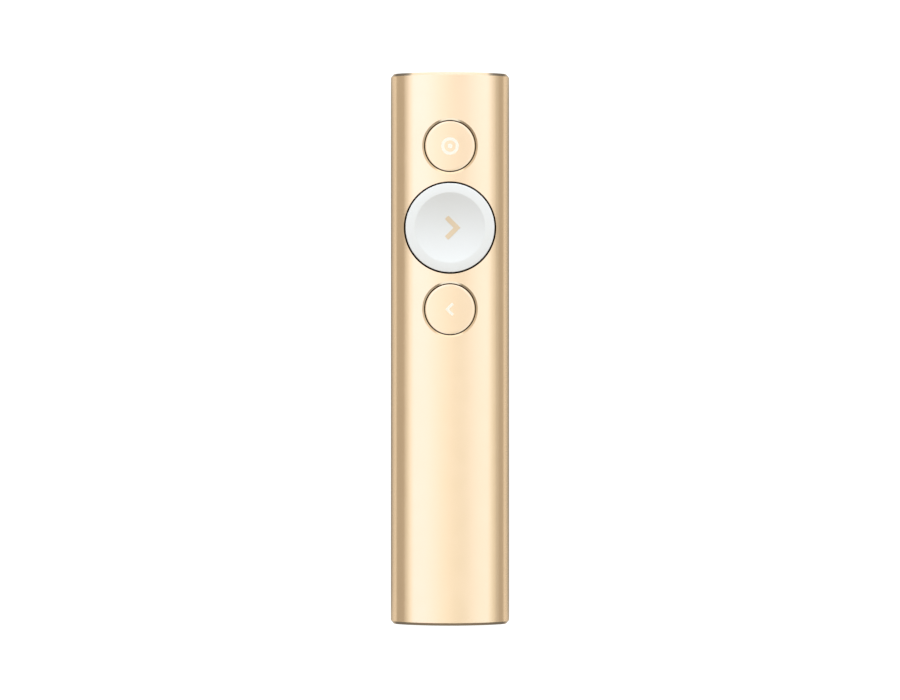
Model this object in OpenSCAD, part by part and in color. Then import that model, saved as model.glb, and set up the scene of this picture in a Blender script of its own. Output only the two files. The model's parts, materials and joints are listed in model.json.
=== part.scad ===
// Wireless presentation clicker.
// An extruded aluminium sleeve holds a moulded chassis with three push buttons, and a
// radio receiver with a plug is stored in its tail.
// X runs across the body, Y along it with the nose at +Y, and Z up from the resting face.

/* [Sleeve] */
// Length over the middle of both ends
remote_length = 131.3; // [128:0.1:145]
// Width across the round sides
remote_width = 28.1; // [27.5:0.1:32]
// Height of the crown above the resting face
body_height = 11.9; // [11.8:0.1:14]
// Radius of the shallow crown across the top and the back
crown_radius = 70; // [50:1:150]
// Half angle of the crown, up to its shoulders
crown_angle = 7; // [6:0.1:8]
// Radius of the shoulders between the crown and the round sides
shoulder_radius = 14; // [12:0.5:16]
// Radius of the round sides
side_radius = 4.6; // [4:0.1:5.2]
// Width of the flat land that the back rests on
rest_land = 14; // [8:0.5:16]
// Wall of the extruded sleeve
sleeve_wall = 1.2; // [0.9:0.05:1.3]
// How far the middle of each end stands out beyond its corners
end_bow = 0.4; // [0.1:0.05:0.8]
// Radius of the four corners seen from above
plan_corner = 1.3; // [0.9:0.1:3]
// Bevel round both ends of the sleeve
edge_break = 0.4; // [0.3:0.05:0.8]
// Clearance between the sleeve and what slides into it
slide_fit = 0.1; // [0.05:0.01:0.2]

/* [Ends] */
// How far the end pieces sit back inside the sleeve
end_recess = 0.3; // [0.1:0.05:0.6]
// Depth of the nose plug
nose_depth = 4; // [3:0.1:5]
// Wall of the nose plug
nose_wall = 1.2; // [0.8:0.1:1.6]
// Thickness of the bezel that closes the tail
bezel_depth = 2.2; // [1.5:0.1:4]

/* [Buttons] */
// Distance from the nose to the middle of the pointer button
pointer_from_nose = 17.55; // [16.5:0.05:20]
// Distance from each button to the next
button_pitch = 19.35; // [19:0.05:20]
// Radius of the two small caps
small_cap_radius = 5.93; // [5:0.01:6.2]
// Radius of the large cap
large_cap_radius = 10.55; // [9.8:0.05:10.6]
// Gap between a small cap and its hole
small_gap = 0.25; // [0.2:0.01:0.4]
// Gap between the large cap and its hole
large_gap = 0.42; // [0.3:0.02:0.5]
// Depth of the bevelled lip round the small holes
lip_depth = 0.45; // [0.2:0.05:0.6]
// How far the small caps sit below the crown
cap_recess = 0.05; // [0:0.01:0.2]
// How far the rim of the large cap stands above the crown
rim_rise = 0.2; // [0.1:0.05:0.5]
// Fall of the rim of the large cap from its crest to its edge
rim_fall = 0.13; // [0.05:0.01:0.3]
// Radius of the dish in the large cap
dish_radius = 8.35; // [7:0.05:9]
// Depth of the dish in the large cap
dish_depth = 0.8; // [0.4:0.05:0.9]
// Edge bevel of all three caps
cap_bevel = 0.22; // [0.1:0.02:0.3]
// Travel of each button
button_travel = 0.5; // [0.3:0.05:0.5]

/* [Button carriers] */
// Radius of the guide stem under the small caps
small_stem_radius = 3; // [2.5:0.1:3.4]
// Radius of the guide stem under the large cap
large_stem_radius = 6; // [5:0.1:6.5]
// How far the retaining flange stands out from its stem
flange_reach = 1.5; // [1:0.1:2]
// Thickness of the retaining flange
flange_thickness = 0.6; // [0.4:0.05:0.8]
// Running clearance of the stems in the guide bores
guide_clearance = 0.07; // [0.03:0.01:0.1]
// Width of the key that stops a cap from turning
key_width = 1.2; // [0.8:0.1:1.6]
// How far that key stands out from its stem
key_reach = 0.7; // [0.5:0.1:1]
// Depth of the socket in a cap that takes its stem
socket_depth = 0.35; // [0.2:0.05:0.4]
// Clearance of a stem in the socket of its cap
socket_clearance = 0.02; // [0.01:0.01:0.05]

/* [Key frame] */
// Drop from the inner crown to the top of the key frame
frame_drop = 1.1; // [0.9:0.1:1.4]
// Thickness of the key frame
frame_thickness = 0.8; // [0.6:0.05:1]
// Clearance between the key frame and the flanges under it
flange_clearance = 0.1; // [0.05:0.01:0.15]
// Radius of the posts that stand the key frame on the board
post_radius = 1.2; // [1:0.1:1.4]
// Distance of the posts and screws in from the side of the board
post_inset = 1.7; // [1.6:0.1:2]
// Radius of the locating pegs under the posts
peg_radius = 0.7; // [0.5:0.05:0.8]
// How far the key frame runs past its outermost posts
frame_overhang = 2.2; // [1.6:0.1:2.4]

/* [Circuit board] */
// Thickness of the circuit board
board_thickness = 1; // [0.8:0.1:1]
// Gap between the board and the sides of the sleeve
board_side_gap = 0.3; // [0.2:0.05:0.5]
// Corner radius of the board
board_corner = 1.5; // [0.5:0.1:3]
// Height of a switch from the board to the top of its plunger
switch_height = 2.1; // [2:0.05:2.4]
// Side of the square switch bodies
switch_size = 5.2; // [4.6:0.1:6]
// Height of the switch bodies
switch_body_height = 1.4; // [1.2:0.05:1.5]
// Radius of the switch plungers
plunger_radius = 1; // [0.8:0.05:1.3]
// Clearance of a plunger in its switch body and below its foot
plunger_clearance = 0.08; // [0.04:0.01:0.1]
// Thickness of the solder tabs and feet
tab_thickness = 0.2; // [0.1:0.05:0.3]

/* [Chassis tray] */
// Floor thickness of the tray under its pockets
tray_floor = 0.5; // [0.4:0.05:0.6]
// Radius of the screw shanks
screw_radius = 0.65; // [0.5:0.05:0.8]
// Radius of the screw heads
screw_head_radius = 1.2; // [1:0.1:1.4]
// Height of the screw heads
screw_head_height = 0.65; // [0.5:0.05:0.8]
// Thickness of the tray that is left under the screw points
screw_bed = 0.3; // [0.2:0.05:0.6]
// Clearance round loose-fitting parts in their pockets
pocket_clearance = 0.3; // [0.1:0.05:0.4]

/* [Electronics] */
// Side of the radio chip
radio_size = 4; // [3:0.1:5]
// Height of the radio chip
radio_height = 0.9; // [0.7:0.05:1]
// Side of the shield over the radio chip
shield_size = 8; // [6.5:0.1:8]
// Height of the shield
shield_height = 1.4; // [1.25:0.05:1.5]
// Sheet thickness of the shield
shield_sheet = 0.2; // [0.1:0.05:0.2]
// Side of the motion and power chips
chip_size = 3; // [2:0.1:3.4]
// Height of the motion and power chips
chip_height = 0.8; // [0.6:0.05:1]
// Width of the timing crystal
crystal_width = 2; // [1.6:0.1:2.2]
// Length of the timing crystal
crystal_length = 3.2; // [2.5:0.1:4]
// Height of the timing crystal
crystal_height = 0.7; // [0.5:0.05:1]
// Width of a capacitor
capacitor_width = 1; // [0.5:0.05:1.2]
// Length of a capacitor
capacitor_length = 1.8; // [1:0.1:2]
// Height of a capacitor
capacitor_height = 0.8; // [0.4:0.05:1]
// Width of the antenna
antenna_width = 9; // [6:0.1:12]
// Depth of the antenna along the body
antenna_depth = 2; // [1:0.1:2.2]
// Height of the antenna
antenna_height = 1.1; // [0.8:0.05:1.4]

/* [Battery and motor] */
// Width of the battery cell
battery_width = 17; // [14:0.5:18]
// Free length between the charging port and the battery cell
battery_setback = 12; // [9:0.5:20]
// Free height over the battery cell and the motor
battery_headroom = 0.35; // [0.2:0.05:0.6]
// Free length of the battery leads
lead_length = 3; // [2:0.1:4]
// Thickness of the adhesive pads under the battery and the motor
pad_thickness = 0.25; // [0.1:0.05:0.3]
// Radius of the coin motor
motor_radius = 5; // [4:0.1:5.5]
// Gap between the coin motor and the battery connector
motor_gap = 2; // [1.5:0.1:4]
// Radius of the battery leads
lead_radius = 0.4; // [0.3:0.05:0.5]
// Width of the battery connector
connector_width = 4.4; // [4:0.1:6]
// Length of the battery connector
connector_length = 3; // [2.5:0.1:4]
// Height of the battery connector
connector_height = 1.6; // [1.2:0.1:1.8]

/* [Receiver] */
// Length of the receiver with its plug
receiver_length = 40.4; // [38:0.1:43]
// Width of the receiver case
receiver_width = 17.4; // [16.5:0.1:17.8]
// Thickness of the receiver case
receiver_thickness = 5.7; // [5.4:0.1:5.9]
// Wall of the receiver case
receiver_wall = 0.9; // [0.7:0.05:1.1]
// Corner radius of the receiver case
receiver_corner = 1.4; // [0.5:0.1:1.8]
// Length of the plug that stands out of the case
plug_length = 18.75; // [17:0.05:20]
// Width of the plug
plug_width = 12; // [11.5:0.1:12.1]
// Thickness of the plug
plug_thickness = 4.5; // [4:0.1:4.6]
// Corner radius of the plug
plug_corner = 0.6; // [0.4:0.05:1]
// Sheet thickness of the plug's shell
plug_sheet = 0.3; // [0.2:0.05:0.4]
// Thickness of the plug's contact carrier
carrier_thickness = 1.9; // [1.6:0.1:2.1]
// Width of the windows in the plug
window_width = 2.5; // [2:0.1:2.8]
// Length of the windows in the plug
window_length = 2.1; // [1.8:0.1:2.6]
// Distance of each window from the middle of the plug
window_x = 2.6; // [2.3:0.1:3]
// Distance of the windows from the tip of the plug
window_setback = 6; // [4.5:0.1:7]
// Width of a plug contact
contact_width = 1; // [0.8:0.05:1.2]
// Thickness of a plug contact
contact_thickness = 0.12; // [0.08:0.01:0.2]
// Distance between the two inner contacts
inner_pitch = 2; // [1.8:0.05:2.2]
// Distance between the two outer contacts
outer_pitch = 7; // [6.6:0.05:7.2]
// Thickness of the receiver's circuit board
receiver_board_thickness = 0.8; // [0.6:0.05:1]
// Depth of the grooves along the sides of the case
groove_depth = 0.45; // [0.3:0.05:0.6]
// Width of the grooves along the sides of the case
groove_width = 1.4; // [1:0.1:1.8]
// How far the receiver slides out to come free
receiver_travel = 42; // [38:0.5:48]

/* [Dock] */
// Clearance of the receiver in its bay
bay_clearance = 0.2; // [0.15:0.01:0.25]
// Wall of the bay
bay_wall = 0.9; // [0.8:0.05:0.95]
// Wall at the inner end of the bay
bay_end_wall = 1.2; // [1:0.1:2]
// Free length beyond the tip of the stored plug
bay_end_gap = 0.4; // [0.3:0.05:0.8]
// Thickness of the collars that centre the bay in the sleeve
collar_thickness = 1.6; // [1:0.1:2.4]
// Width of the dock's screw ears
ear_width = 4; // [3.4:0.1:4.4]
// Length of the dock's screw ears
ear_length = 4; // [3.4:0.1:5]
// Thickness of the dock's screw ears
ear_thickness = 1; // [0.8:0.1:1.4]

/* [Charging port] */
// Width of the port's shell
port_width = 8.94; // [8.6:0.01:9.2]
// Thickness of the port's shell
port_thickness = 3.26; // [3:0.01:3.5]
// Depth of the port
port_depth = 7.35; // [6.5:0.05:8]
// Sheet thickness of the port's shell
port_sheet = 0.3; // [0.2:0.05:0.35]
// Width of the tongue in the port
tongue_width = 6.7; // [6.4:0.1:6.9]
// Thickness of the tongue in the port
tongue_thickness = 0.7; // [0.5:0.05:0.9]
// How far the tongue sits back from the port's mouth
tongue_setback = 1; // [0.6:0.1:1.5]
// Reach of the port's solder tabs
port_tab = 1.2; // [0.8:0.1:1.4]

/* [Hidden] */
$fn = 96;
fine = 200;            // facets of the wide, shallow surfaces
overshoot = 1;         // how far a cut runs past the face it opens

// Cross-section of the sleeve
side_x = remote_width / 2 - side_radius;
shoulder_x = (crown_radius - shoulder_radius) * sin(crown_angle);
shoulder_drop = crown_radius - (crown_radius - shoulder_radius) * cos(crown_angle);
shoulder_angle = asin((side_x - shoulder_x) / (shoulder_radius - side_radius));
side_drop = shoulder_drop - (shoulder_radius - side_radius) * cos(shoulder_angle);
land_sag = crown_radius - sqrt(pow(crown_radius, 2) - pow(rest_land / 2, 2));
upper_side_z = body_height - side_drop;
lower_side_z = side_drop - land_sag;

// Places along the body
nose_y = remote_length / 2;
tail_y = -nose_y;
nose_plug_y = nose_y - nose_depth;
pointer_y = nose_y - pointer_from_nose;
next_y = pointer_y - button_pitch;
back_y = next_y - button_pitch;
receiver_tail_y = tail_y + end_recess;
receiver_tip_y = receiver_tail_y + receiver_length;
plug_root_y = receiver_tip_y - plug_length;
port_mouth_y = receiver_tip_y + bay_end_gap;
port_rear_y = port_mouth_y + port_depth;
dock_inner_y = port_mouth_y + bay_end_wall;
chassis_tail_y = dock_inner_y + pocket_clearance;
chassis_nose_y = nose_plug_y - pocket_clearance;

// Heights of the stack, from the crown down
inner_crown_z = body_height - sleeve_wall;
frame_top_z = inner_crown_z - frame_drop;
frame_bottom_z = frame_top_z - frame_thickness;
flange_top_z = frame_bottom_z - flange_clearance;
flange_bottom_z = flange_top_z - flange_thickness;
board_top_z = flange_bottom_z - switch_height;
board_bottom_z = board_top_z - board_thickness;
cap_bottom_z = frame_top_z + button_travel + plunger_clearance;
rim_z = body_height + rim_rise;
floor_z = sleeve_wall + slide_fit + tray_floor;
pad_top_z = floor_z + pad_thickness;
dock_z = body_height / 2;

// Places across the body
board_width = remote_width - 2 * (sleeve_wall + slide_fit + board_side_gap);
post_x = board_width / 2 - post_inset;
screw_reach = post_x + screw_radius - side_x;
tray_under_screws_z = lower_side_z - sqrt(pow(side_radius - sleeve_wall - slide_fit, 2)
                                          - pow(screw_reach, 2));
screw_point_z = tray_under_screws_z + screw_bed + slide_fit;
post_ys = [pointer_y + button_pitch / 2, next_y + button_pitch / 2, next_y - button_pitch / 2,
           back_y - button_pitch / 2];
frame_nose_y = min(post_ys[0] + frame_overhang, chassis_nose_y);
frame_tail_y = post_ys[3] - frame_overhang;
ear_screw_y = chassis_tail_y + ear_length / 2;
ear_screw_x = port_width / 2 + port_tab + ear_width / 2;
screw_ys = [pointer_y, back_y];

// Pockets of the tray
motor_y = pointer_y - motor_radius - screw_head_radius;
connector_y = motor_y - motor_radius - motor_gap - connector_length;
battery_nose_y = connector_y - lead_length;
battery_tail_y = port_rear_y + battery_setback;
battery_thickness = board_bottom_z - pad_top_z - battery_headroom;
bay_width = receiver_width + 2 * bay_clearance;
bay_height = receiver_thickness + 2 * bay_clearance;

// Rows of components between the buttons
front_row_y = (pointer_y + next_y) / 2;
rear_row_y = (next_y + back_y) / 2;

// ---- shapes that repeat ----

// Points of an arc about c, without its first point
function arc(c, r, a0, a1, steps) =
    [for (i = [1:steps]) let (a = a0 + (a1 - a0) * i / steps) c + r * [cos(a), sin(a)]];

function backwards(points) = [for (i = [len(points) - 1:-1:0]) points[i]];

function mirrored_x(points) = [for (p = backwards(points)) [-p.x, p.y]];

// Right half of the sleeve's cross-section, inset all round, from the crown down to the land
function section_half(inset) =
    let (land_half = sqrt(pow(crown_radius - inset, 2)
                          - pow(crown_radius - land_sag - inset, 2)),
         land_angle = asin(land_half / (crown_radius - inset)),
         crown_end = 90 - crown_angle,
         shoulder_end = 90 - shoulder_angle)
    concat(
        arc([0, body_height - crown_radius], crown_radius - inset, 90, crown_end, 4),
        arc([shoulder_x, body_height - shoulder_drop], shoulder_radius - inset, crown_end,
            shoulder_end, 3),
        arc([side_x, upper_side_z], side_radius - inset, shoulder_end, 0, 8),
        arc([side_x, lower_side_z], side_radius - inset, 0, -shoulder_end, 8),
        arc([shoulder_x, shoulder_drop - land_sag], shoulder_radius - inset, -shoulder_end,
            -crown_end, 3),
        arc([0, crown_radius - land_sag], crown_radius - inset, -crown_end, land_angle - 90, 1));

module section(inset) {
    half = section_half(inset);
    polygon(concat([[0, body_height - inset]], half, mirrored_x(half)));
}

// Quarter of the outline seen from above, with its end cut back and its sides inset
function plan_quarter(cut, inset) =
    let (half_width = remote_width / 2 - inset,
         corner = plan_corner - inset,
         corner_x = half_width - corner,
         end_y = function (x) nose_y - cut - end_bow * pow(2 * x / remote_width, 2))
    concat([for (i = [1:4]) let (x = corner_x * i / 4) [x, end_y(x)]],
           arc([corner_x, end_y(corner_x) - corner], corner, 90, 0, 4));

module plan(cut, inset = 0) {
    quarter = plan_quarter(cut, inset);
    nose_half = concat(mirrored_x(quarter), [[0, nose_y - cut]], quarter);
    polygon(concat(nose_half, [for (p = backwards(nose_half)) [p.x, -p.y]]));
}

// Extrudes an outline drawn in X and Z from y0 to y1
module along_y(y0, y1) {
    translate([0, y1, 0]) rotate([90, 0, 0]) linear_extrude(height = y1 - y0) children();
}

module bowed_bar(inset, cut) {
    intersection() {
        along_y(tail_y, nose_y) section(inset);
        linear_extrude(height = body_height) plan(cut, inset);
    }
}

module block(width, y0, y1, z0, z1, x = 0) {
    translate([x - width / 2, y0, z0]) cube([width, y1 - y0, z1 - z0]);
}

module post(x, y, r, z0, z1) {
    translate([x, y, z0]) cylinder(r = r, h = z1 - z0);
}

// Rounded rectangle about the origin
module rounded(width, height, r) {
    x = width / 2 - r;
    y = height / 2 - r;
    polygon(concat(arc([x, y], r, 90, 0, 5), [[x + r, -y]], arc([x, -y], r, 0, -90, 5),
                   [[-x, -y - r]], arc([-x, -y], r, -90, -180, 5), [[-x - r, y]],
                   arc([-x, y], r, 180, 90, 5), [[x, y + r]]));
}

module both_sides() {
    for (side = [-1, 1]) scale_x(side) children();
}

module scale_x(side) {
    if (side < 0) mirror([1, 0, 0]) children();
    else children();
}

// ---- housing ----

// Cuts a bevel of even width that follows the crown round a hole
module crown_lip(y, hole_radius) {
    reach = hole_radius + lip_depth;
    hull() {
        intersection() {
            post(0, y, hole_radius, upper_side_z, body_height, $fn = 48);
            along_y(y - reach, y + reach) section(lip_depth);
        }
        difference() {
            post(0, y, reach, upper_side_z, body_height + overshoot, $fn = 48);
            along_y(y - 2 * reach, y + 2 * reach) section(0);
        }
    }
}

module housing_sleeve() {
    color("#EFD2A4") difference() {
        hull() {
            bowed_bar(0, edge_break);
            bowed_bar(edge_break, 0);
        }
        along_y(tail_y - overshoot, nose_y + overshoot) section(sleeve_wall);
        post(0, next_y, large_cap_radius + large_gap, dock_z, body_height + overshoot);
        for (y = [pointer_y, back_y]) {
            post(0, y, small_cap_radius + small_gap, dock_z, body_height + overshoot);
            crown_lip(y, small_cap_radius + small_gap);
        }
    }
}

module nose_cap() {
    fit = sleeve_wall + slide_fit;
    color("#8C7452") difference() {
        intersection() {
            along_y(nose_plug_y, nose_y) section(fit);
            linear_extrude(height = body_height) plan(end_recess, 0);
        }
        along_y(nose_plug_y - overshoot, nose_y - end_recess - nose_wall) section(fit + nose_wall);
    }
}

module dock_collar(y0, y1) {
    along_y(y0, y1) section(sleeve_wall + slide_fit);
}

module receiver_dock() {
    middle_y = (tail_y + dock_inner_y) / 2;
    color("#3A3733") union() {
        difference() {
            union() {
                intersection() {
                    dock_collar(tail_y, tail_y + end_recess + bezel_depth);
                    linear_extrude(height = body_height) plan(end_recess, 0);
                }
                dock_collar(middle_y, middle_y + collar_thickness);
                dock_collar(dock_inner_y - collar_thickness, dock_inner_y);
                intersection() {
                    along_y(receiver_tail_y + bezel_depth, dock_inner_y) translate([0, dock_z])
                        rounded(bay_width + 2 * bay_wall, bay_height + 2 * bay_wall,
                                receiver_corner + bay_wall);
                    dock_collar(tail_y, nose_y);
                }
            }
            along_y(tail_y - overshoot, port_mouth_y) translate([0, dock_z])
                rounded(bay_width, bay_height, receiver_corner + bay_clearance);
            along_y(port_mouth_y - overshoot, dock_inner_y + overshoot) translate([0, dock_z])
                rounded(port_width + 2 * slide_fit, port_thickness + 2 * slide_fit,
                        port_thickness / 2);
        }
        both_sides() {
            // rail that runs in the receiver's groove
            block(groove_depth, receiver_tail_y + bezel_depth, plug_root_y,
                  dock_z - groove_width / 2 + bay_clearance,
                  dock_z + groove_width / 2 - bay_clearance,
                  bay_width / 2 - groove_depth / 2);
            // ear that is screwed down on the board
            difference() {
                intersection() {
                    block(ear_width, dock_inner_y - collar_thickness,
                          chassis_tail_y + ear_length, board_top_z, board_top_z + ear_thickness,
                          ear_screw_x);
                    dock_collar(tail_y, nose_y);
                }
                post(ear_screw_x, ear_screw_y, screw_radius + slide_fit, board_bottom_z,
                     body_height);
            }
        }
    }
}

// Everything that is screwed through the board into the tray, as [x, y]
module at_screws() {
    both_sides() for (y = screw_ys) translate([post_x, y, 0]) children();
}

module chassis_tray() {
    pocket_top = board_bottom_z + overshoot;
    color("#2F2D2B") difference() {
        intersection() {
            along_y(chassis_tail_y, chassis_nose_y) section(sleeve_wall + slide_fit);
            block(remote_width, chassis_tail_y, chassis_nose_y, 0, board_bottom_z);
        }
        block(battery_width + 2 * pocket_clearance, battery_tail_y - pocket_clearance,
              battery_nose_y + pocket_clearance, floor_z, pocket_top);
        block(connector_width + 2 * pocket_clearance, battery_nose_y,
              connector_y + connector_length + pocket_clearance, floor_z, pocket_top);
        post(0, motor_y, motor_radius + pocket_clearance, floor_z, pocket_top);
        block(port_width + 4 * pocket_clearance, chassis_tail_y - overshoot,
              port_rear_y + pocket_clearance, floor_z, pocket_top);
        block(motor_radius, motor_y, motor_y + motor_radius + 4 * pocket_clearance, floor_z,
              pocket_top);
        at_screws() post(0, 0, screw_radius, screw_point_z - slide_fit, pocket_top);
        both_sides() {
            post(ear_screw_x, ear_screw_y, screw_radius, screw_point_z - slide_fit, pocket_top);
            for (y = post_ys) post(post_x, y, peg_radius + slide_fit,
                                   board_bottom_z - board_thickness, pocket_top);
        }
    }
}

module guide_bore(y, stem_radius) {
    post(0, y, stem_radius + guide_clearance, frame_bottom_z - overshoot,
         frame_top_z + overshoot);
    block(key_width + 2 * slide_fit, y, y + stem_radius + key_reach + slide_fit,
          frame_bottom_z - overshoot, frame_top_z + overshoot);
}

module key_frame() {
    color("#29292B") difference() {
        union() {
            intersection() {
                along_y(frame_tail_y, frame_nose_y) section(sleeve_wall + slide_fit);
                block(remote_width, frame_tail_y, frame_nose_y, frame_bottom_z, frame_top_z);
            }
            both_sides() for (y = post_ys) {
                post(post_x, y, post_radius, board_top_z, frame_bottom_z);
                post(post_x, y, peg_radius, board_bottom_z - board_thickness / 2, board_top_z);
            }
        }
        guide_bore(pointer_y, small_stem_radius);
        guide_bore(next_y, large_stem_radius);
        guide_bore(back_y, small_stem_radius);
    }
}

module screw(seat_z) {
    post(0, 0, screw_radius, screw_point_z, seat_z);
    difference() {
        post(0, 0, screw_head_radius, seat_z, seat_z + screw_head_height);
        post(0, 0, screw_head_radius / 2, seat_z + screw_head_height / 2,
             seat_z + screw_head_height + overshoot, $fn = 6);
    }
}

module board_screws() {
    color("#B9BCC0") at_screws() screw(board_top_z);
}

module dock_screws() {
    color("#B9BCC0") both_sides() translate([ear_screw_x, ear_screw_y, 0])
        screw(board_top_z + ear_thickness);
}

// ---- electronics ----

module main_board() {
    color("#1F5B3A") difference() {
        translate([0, (chassis_tail_y + chassis_nose_y) / 2, board_bottom_z])
            linear_extrude(height = board_thickness)
            rounded(board_width, chassis_nose_y - chassis_tail_y, board_corner);
        block(port_width + 2 * slide_fit, chassis_tail_y - overshoot, port_rear_y + slide_fit,
              board_bottom_z - overshoot, board_top_z + overshoot);
        at_screws() post(0, 0, screw_radius + slide_fit, board_bottom_z - overshoot,
                         board_top_z + overshoot);
        both_sides() {
            post(ear_screw_x, ear_screw_y, screw_radius + slide_fit,
                 board_bottom_z - overshoot, board_top_z + overshoot);
            for (y = post_ys) post(post_x, y, peg_radius + slide_fit / 2,
                                   board_bottom_z - overshoot, board_top_z + overshoot);
        }
    }
}

// Tactile switch: body with four solder tabs and a bore for its plunger
module tact_switch(y) {
    tab_reach = switch_size / 6;
    color("#26262A") difference() {
        union() {
            block(switch_size, y - switch_size / 2, y + switch_size / 2, board_top_z,
                  board_top_z + switch_body_height);
            for (side = [-1, 1])
                block(switch_size + 2 * tab_reach, y + side * switch_size / 3 - tab_reach / 2,
                      y + side * switch_size / 3 + tab_reach / 2, board_top_z,
                      board_top_z + tab_thickness);
        }
        post(0, y, plunger_radius + plunger_clearance, board_top_z + plunger_clearance,
             board_top_z + switch_body_height + overshoot);
    }
}

module pointer_switch() tact_switch(pointer_y);

module next_switch() tact_switch(next_y);

module back_switch() tact_switch(back_y);

// Chip body that stands on a row of thin feet along each side
module chip(x, y, width, length, height) {
    pad = length / 9;
    color("#1C1C1E") union() {
        block(width, y - length / 2, y + length / 2, board_top_z + tab_thickness,
              board_top_z + height, x);
        for (i = [-1.5:1:1.5])
            block(width + 2 * tab_thickness, y + 2 * i * pad - pad / 2,
                  y + 2 * i * pad + pad / 2, board_top_z, board_top_z + tab_thickness, x);
    }
}

module radio_chip() chip(0, rear_row_y, radio_size, radio_size, radio_height);

module radio_shield() {
    inner = shield_size - 2 * shield_sheet;
    color("#C3C5C8") difference() {
        block(shield_size, rear_row_y - shield_size / 2, rear_row_y + shield_size / 2,
              board_top_z, board_top_z + shield_height);
        block(inner, rear_row_y - inner / 2, rear_row_y + inner / 2,
              board_top_z - overshoot, board_top_z + shield_height - shield_sheet);
        for (x = [-1, 1], y = [-1, 1])
            post(x * shield_size / 4, rear_row_y + y * shield_size / 4, shield_size / 14,
                 board_top_z + shield_height / 2, board_top_z + shield_height + overshoot);
    }
}

module motion_sensor() chip(-chip_size, front_row_y, chip_size, chip_size, chip_height);

module power_chip() chip(chip_size, front_row_y, chip_size, chip_size, chip_height);

module timing_crystal() {
    color("#D0CFC8") block(crystal_width, rear_row_y - crystal_length / 2,
                           rear_row_y + crystal_length / 2, board_top_z,
                           board_top_z + crystal_height, shield_size / 2 + crystal_width);
}

module board_capacitors() {
    color("#A98C62") both_sides() for (row_y = [pointer_y, back_y], step = [-1.5, 0.5])
        block(capacitor_width, row_y + step * capacitor_length,
              row_y + (step + 1) * capacitor_length, board_top_z,
              board_top_z + capacitor_height, switch_size / 2 + 3 * capacitor_width);
}

module antenna() {
    color("#E4E2DA") block(antenna_width, chassis_nose_y - 1.5 * antenna_depth,
                           chassis_nose_y - antenna_depth / 2, board_top_z,
                           board_top_z + antenna_height);
}

module usb_c_shell() {
    color("#C7C9CC") union() {
        difference() {
            along_y(port_mouth_y, port_rear_y) translate([0, dock_z])
                rounded(port_width, port_thickness, port_thickness / 2 - 0.02);
            along_y(port_mouth_y - overshoot, port_rear_y - port_sheet) translate([0, dock_z])
                rounded(port_width - 2 * port_sheet, port_thickness - 2 * port_sheet,
                        port_thickness / 2 - port_sheet - 0.02);
        }
        both_sides() for (y = [chassis_tail_y + port_tab / 2, port_rear_y - 1.5 * port_tab])
            block(port_tab + port_sheet, y, y + port_tab, board_top_z,
                  board_top_z + tab_thickness, (port_width + port_tab - port_sheet) / 2);
    }
}

module usb_c_tongue() {
    root_depth = port_depth / 4;
    color("#303034") union() {
        block(tongue_width, port_mouth_y + tongue_setback, port_rear_y - port_sheet,
              dock_z - tongue_thickness / 2, dock_z + tongue_thickness / 2);
        along_y(port_rear_y - port_sheet - root_depth, port_rear_y - port_sheet)
            translate([0, dock_z])
            rounded(port_width - 2 * port_sheet, port_thickness - 2 * port_sheet,
                    port_thickness / 2 - port_sheet - 0.02);
    }
}

// ---- battery and motor ----

module battery_cell() {
    color("#8D9196") translate([0, (battery_tail_y + battery_nose_y) / 2, pad_top_z])
        linear_extrude(height = battery_thickness)
        rounded(battery_width, battery_nose_y - battery_tail_y, battery_thickness / 2);
}

module battery_pad() {
    margin = battery_width / 10;
    color("#F2F0EA") block(battery_width - 2 * margin, battery_tail_y + margin,
                           battery_nose_y - margin, floor_z, pad_top_z);
}

module battery_connector() {
    color("#EDE9DF") block(connector_width, connector_y, connector_y + connector_length,
                           board_bottom_z - connector_height, board_bottom_z);
}

module battery_leads() {
    color("#B03A2E") both_sides()
        translate([connector_width / 4, connector_y, board_bottom_z - connector_height / 2])
        rotate([90, 0, 0]) cylinder(r = lead_radius, h = connector_y - battery_nose_y);
}

module vibration_motor() {
    color("#B4B7BB") post(0, motor_y, motor_radius, pad_top_z, pad_top_z + battery_thickness);
}

module motor_pad() {
    color("#F2F0EA") post(0, motor_y, motor_radius * 0.8, floor_z, pad_top_z);
}

// Flexible tail of the motor, folded up to the underside of the board
module motor_flex() {
    width = motor_radius / 2;
    rise_y = motor_y + motor_radius + pocket_clearance;
    color("#C98A2B") union() {
        intersection() {
            block(width, motor_y, rise_y + tab_thickness, pad_top_z, pad_top_z + tab_thickness);
            difference() {
                block(2 * width, motor_y, rise_y + 1, floor_z, board_top_z);
                post(0, motor_y, motor_radius, floor_z - overshoot, board_top_z + overshoot);
            }
        }
        block(width, rise_y, rise_y + tab_thickness, pad_top_z, board_bottom_z);
    }
}

// ---- buttons ----

// Guide stem with its retaining flange and the key that stops it turning
module button_base(y, stem_radius) {
    stem_top = cap_bottom_z + socket_depth;
    color("#E9E6DF") union() {
        post(0, y, stem_radius, flange_top_z, stem_top);
        post(0, y, stem_radius + flange_reach, flange_bottom_z, flange_top_z);
        block(key_width, y, y + stem_radius + key_reach, flange_top_z, cap_bottom_z);
    }
}

module cap_socket(y, stem_radius) {
    post(0, y, stem_radius + socket_clearance, cap_bottom_z - overshoot,
         cap_bottom_z + socket_depth);
}

module small_cap(y) {
    crown = crown_radius - cap_recess;
    color("#F0D4A8") difference() {
        intersection() {
            post(0, y, small_cap_radius, cap_bottom_z, body_height);
            translate([0, y, body_height - crown_radius]) rotate([90, 0, 0])
                cylinder(r = crown, h = 3 * small_cap_radius, center = true, $fn = fine);
        }
        cap_socket(y, small_stem_radius);
    }
}

module pointer_button() small_cap(pointer_y);

module back_button() small_cap(back_y);

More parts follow.
